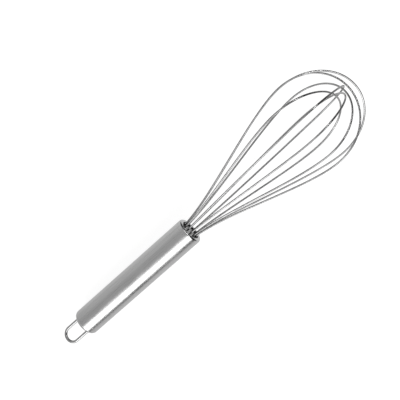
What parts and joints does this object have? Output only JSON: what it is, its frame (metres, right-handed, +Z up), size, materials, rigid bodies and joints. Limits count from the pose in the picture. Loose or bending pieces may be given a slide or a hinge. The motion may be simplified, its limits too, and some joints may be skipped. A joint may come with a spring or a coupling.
{
  "type": "balloon whisk",
  "caption": "Hand whisk with a balloon of bent steel wire loops, a hollow satin steel tube handle and a wire loop at the butt for hanging.",
  "frame": {"origin": "centre of the whisk's footprint on the surface it lies on", "axes": "+X from the hanging loop to the tip of the balloon, +Z up from the surface, +Y to the left seen from the handle"},
  "size_m": [0.2746, 0.0648, 0.0618],
  "materials": {
    "satin_steel": "satin, polished along the length",
    "wire_steel": "bright drawn wire",
    "loop_steel": "bright drawn wire",
    "plate_steel": "pressed sheet, dull",
    "weld_steel": "weld bead, heat tinted",
    "resin": "cured casting resin"
  },
  "bodies": {
    "root": {"handle_tube": "satin_steel", "end_cap": "satin_steel", "front_wire_guide": "plate_steel", "rear_wire_guide": "plate_steel", "resin_plug": "resin", "balloon_wire_1": "wire_steel", "balloon_wire_2": "wire_steel", "balloon_wire_3": "wire_steel", "balloon_wire_4": "wire_steel", "balloon_wire_5": "wire_steel", "balloon_wire_6": "wire_steel", "hanging_loop": "loop_steel", "loop_weld_near": "weld_steel", "loop_weld_far": "weld_steel"}
  },
  "joints": []
}
